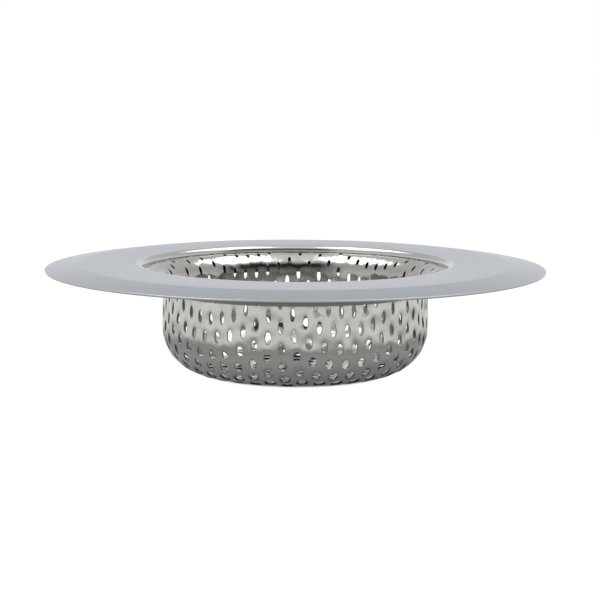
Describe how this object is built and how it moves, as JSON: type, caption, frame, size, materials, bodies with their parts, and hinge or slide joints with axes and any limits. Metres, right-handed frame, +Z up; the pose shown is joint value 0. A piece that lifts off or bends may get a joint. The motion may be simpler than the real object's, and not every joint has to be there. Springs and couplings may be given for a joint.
{
  "type": "sink basket strainer",
  "caption": "Round sink basket strainer: a perforated deep-drawn cup hangs from a wide flat rim and catches solids while water drains through it.",
  "frame": {"origin": "centre of the cup's flat bottom, on the surface the strainer stands on", "axes": "+Z up along the cup's axis, towards the open rim; +X and +Y only fix the hole pattern's turn"},
  "size_m": [0.111, 0.111, 0.0246],
  "materials": {
    "satin_steel": "satin",
    "ring_steel": "satin",
    "bright_steel": "polished"
  },
  "bodies": {
    "root": {"rim": "satin_steel", "backing_ring": "ring_steel", "basket": "bright_steel"}
  },
  "joints": []
}
